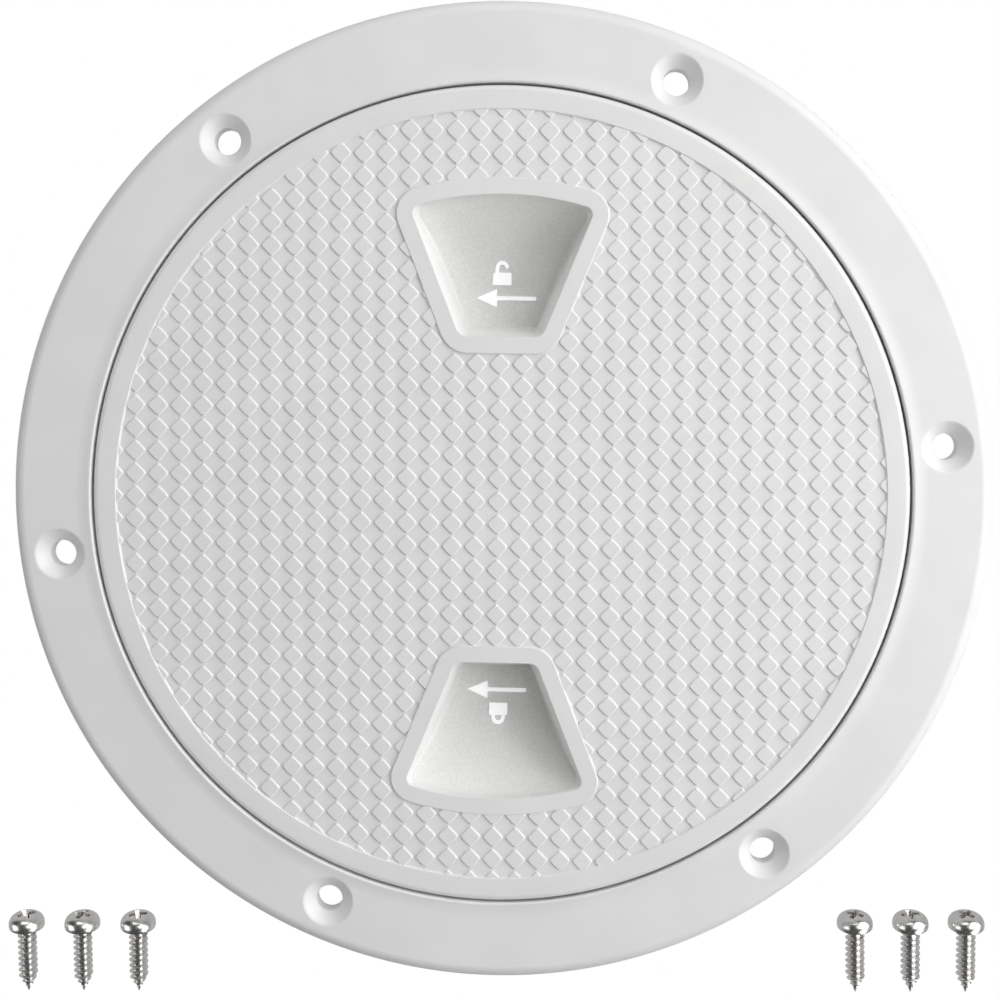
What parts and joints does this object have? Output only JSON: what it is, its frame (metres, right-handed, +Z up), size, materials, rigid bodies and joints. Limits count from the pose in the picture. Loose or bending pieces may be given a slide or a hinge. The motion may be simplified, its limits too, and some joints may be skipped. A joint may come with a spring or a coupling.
{
  "type": "deck hatch",
  "caption": "Round screw-out deck hatch: flanged deck ring with countersunk holes, threaded lid with two finger wells, O-ring seal and loose pan-head screws.",
  "frame": {"origin": "centre of the lid's flat top face, level with the inner lip of the deck ring", "axes": "+Z up out of the deck; +Y through the finger well marked for opening; +X to its right seen from above"},
  "size_m": [0.2176, 0.2156, 0.026],
  "materials": {
    "white_plastic": "satin moulded white, fine grain",
    "black_rubber": "matte black",
    "stainless_steel": "bright stainless"
  },
  "bodies": {
    "frame": {"deck_ring": "white_plastic", "screw_1": "stainless_steel", "screw_2": "stainless_steel", "screw_3": "stainless_steel", "screw_4": "stainless_steel", "screw_5": "stainless_steel", "screw_6": "stainless_steel"},
    "seal": {"lid_seal": "black_rubber"},
    "lid": {"lid": "white_plastic"}
  },
  "joints": [
    {"name": "lid_rise", "type": "slide", "parent": "frame", "child": "seal", "axis": [0, 0, 1], "range_m": [0, 0.0181]},
    {"name": "lid_turn", "type": "hinge", "parent": "seal", "child": "lid", "pos_m": [0, 0, 0], "axis": [0, 0, 1], "range_deg": [0, 360]}
  ],
  "couplings": [
    {"joint": "lid_rise", "follows": "lid_turn", "m_per_rad": 0.0028648}
  ]
}
